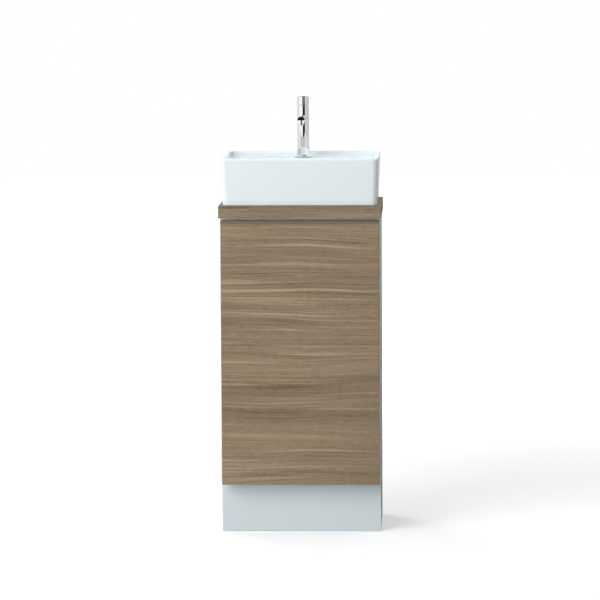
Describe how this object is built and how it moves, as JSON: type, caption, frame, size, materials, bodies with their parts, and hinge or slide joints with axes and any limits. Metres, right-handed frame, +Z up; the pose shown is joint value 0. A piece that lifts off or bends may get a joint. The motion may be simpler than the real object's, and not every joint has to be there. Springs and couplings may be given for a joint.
{
  "type": "vanity unit with basin",
  "caption": "Compact floor-standing vanity: rectangular ceramic basin and pillar tap on a wood-grain counter, over a white cabinet with a full-height hinged door and recessed plinth.",
  "frame": {"origin": "on the floor, under the centre of the footprint", "axes": "+X to the user's right, +Y towards the wall, +Z up"},
  "size_m": [0.36, 0.304, 0.9675],
  "materials": {
    "ceramic": "white gloss glaze",
    "grained_board": "wood-grain laminate, matt, grain along the width",
    "white_board": "white melamine faced board",
    "back_board": "thin white faced hardboard",
    "plinth_face": "satin light grey faced board",
    "chrome": "polished chrome plate",
    "steel": "nickel plated steel",
    "brass": "machined brass",
    "rubber": "black rubber",
    "sealant": "white silicone sealant",
    "grey_plastic": "light grey plastic",
    "dark_plastic": "dark grey plastic"
  },
  "bodies": {
    "cabinet": {"side_panel_left": "white_board", "side_panel_right": "white_board", "bottom_panel": "white_board", "back_panel": "back_board", "top_front_rail": "white_board", "wall_rail": "white_board", "plinth_board": "plinth_face", "shelf": "white_board", "shelf_pins": "steel", "cam_locks": "steel", "cam_bolts": "steel", "foot_pads": "grey_plastic", "counter": "grained_board", "counter_screws": "steel", "counter_brackets": "steel", "bracket_screws": "steel", "basin": "ceramic", "basin_seal": "sealant", "tap_gasket": "rubber", "tap_foot_ring": "chrome", "tap_body": "chrome", "tap_spout": "chrome", "spout_nozzle": "dark_plastic", "valve_cartridge": "grey_plastic", "cartridge_nut": "brass", "tap_washer": "steel", "tap_locknut": "brass", "waste_body": "chrome", "waste_seal": "rubber", "waste_locknut": "brass", "tail_pipe": "chrome", "trap_bend": "chrome", "trap_nuts": "chrome", "outlet_pipe": "chrome", "waste_wall_plate": "chrome", "supply_wall_plate": "chrome", "supply_pipe": "chrome", "supply_nuts": "chrome", "stop_valve_body": "chrome", "hinge_arms": "steel", "hinge_plates": "steel", "plate_screws": "steel", "arm_screws": "steel", "latch_housing": "grey_plastic", "latch_screws": "steel"},
    "door": {"door_panel": "grained_board", "hinge_cups": "steel", "hinge_pins": "steel", "cup_screws": "steel", "strike_plate": "steel", "strike_screw": "steel"},
    "knob": {"tap_knob": "chrome", "valve_spindle": "brass", "knob_screw": "steel"},
    "valve_handle": {"stop_valve_handle": "chrome", "stop_valve_stem": "brass", "handle_screw": "steel"},
    "plunger": {"latch_plunger": "grey_plastic", "latch_magnet": "steel"}
  },
  "joints": [
    {"name": "door_hinge", "type": "hinge", "parent": "cabinet", "child": "door", "pos_m": [-0.167, -0.1205, 0.4065], "axis": [0, 0, -1], "range_deg": [0, 95]},
    {"name": "knob_turn", "type": "hinge", "parent": "cabinet", "child": "knob", "pos_m": [0, 0.083, 0.958], "axis": [0, 0, 1], "range_deg": [0, 90]},
    {"name": "valve_turn", "type": "hinge", "parent": "cabinet", "child": "valve_handle", "pos_m": [0.07, 0.05, 0.47], "axis": [0, -1, 0], "range_deg": [0, 90]},
    {"name": "latch_slide", "type": "slide", "parent": "cabinet", "child": "plunger", "axis": [0, -1, 0], "range_m": [0, 0.008]}
  ],
  "couplings": [
    {"joint": "latch_slide", "follows": "door_hinge", "m_per_rad": 0.0048}
  ]
}
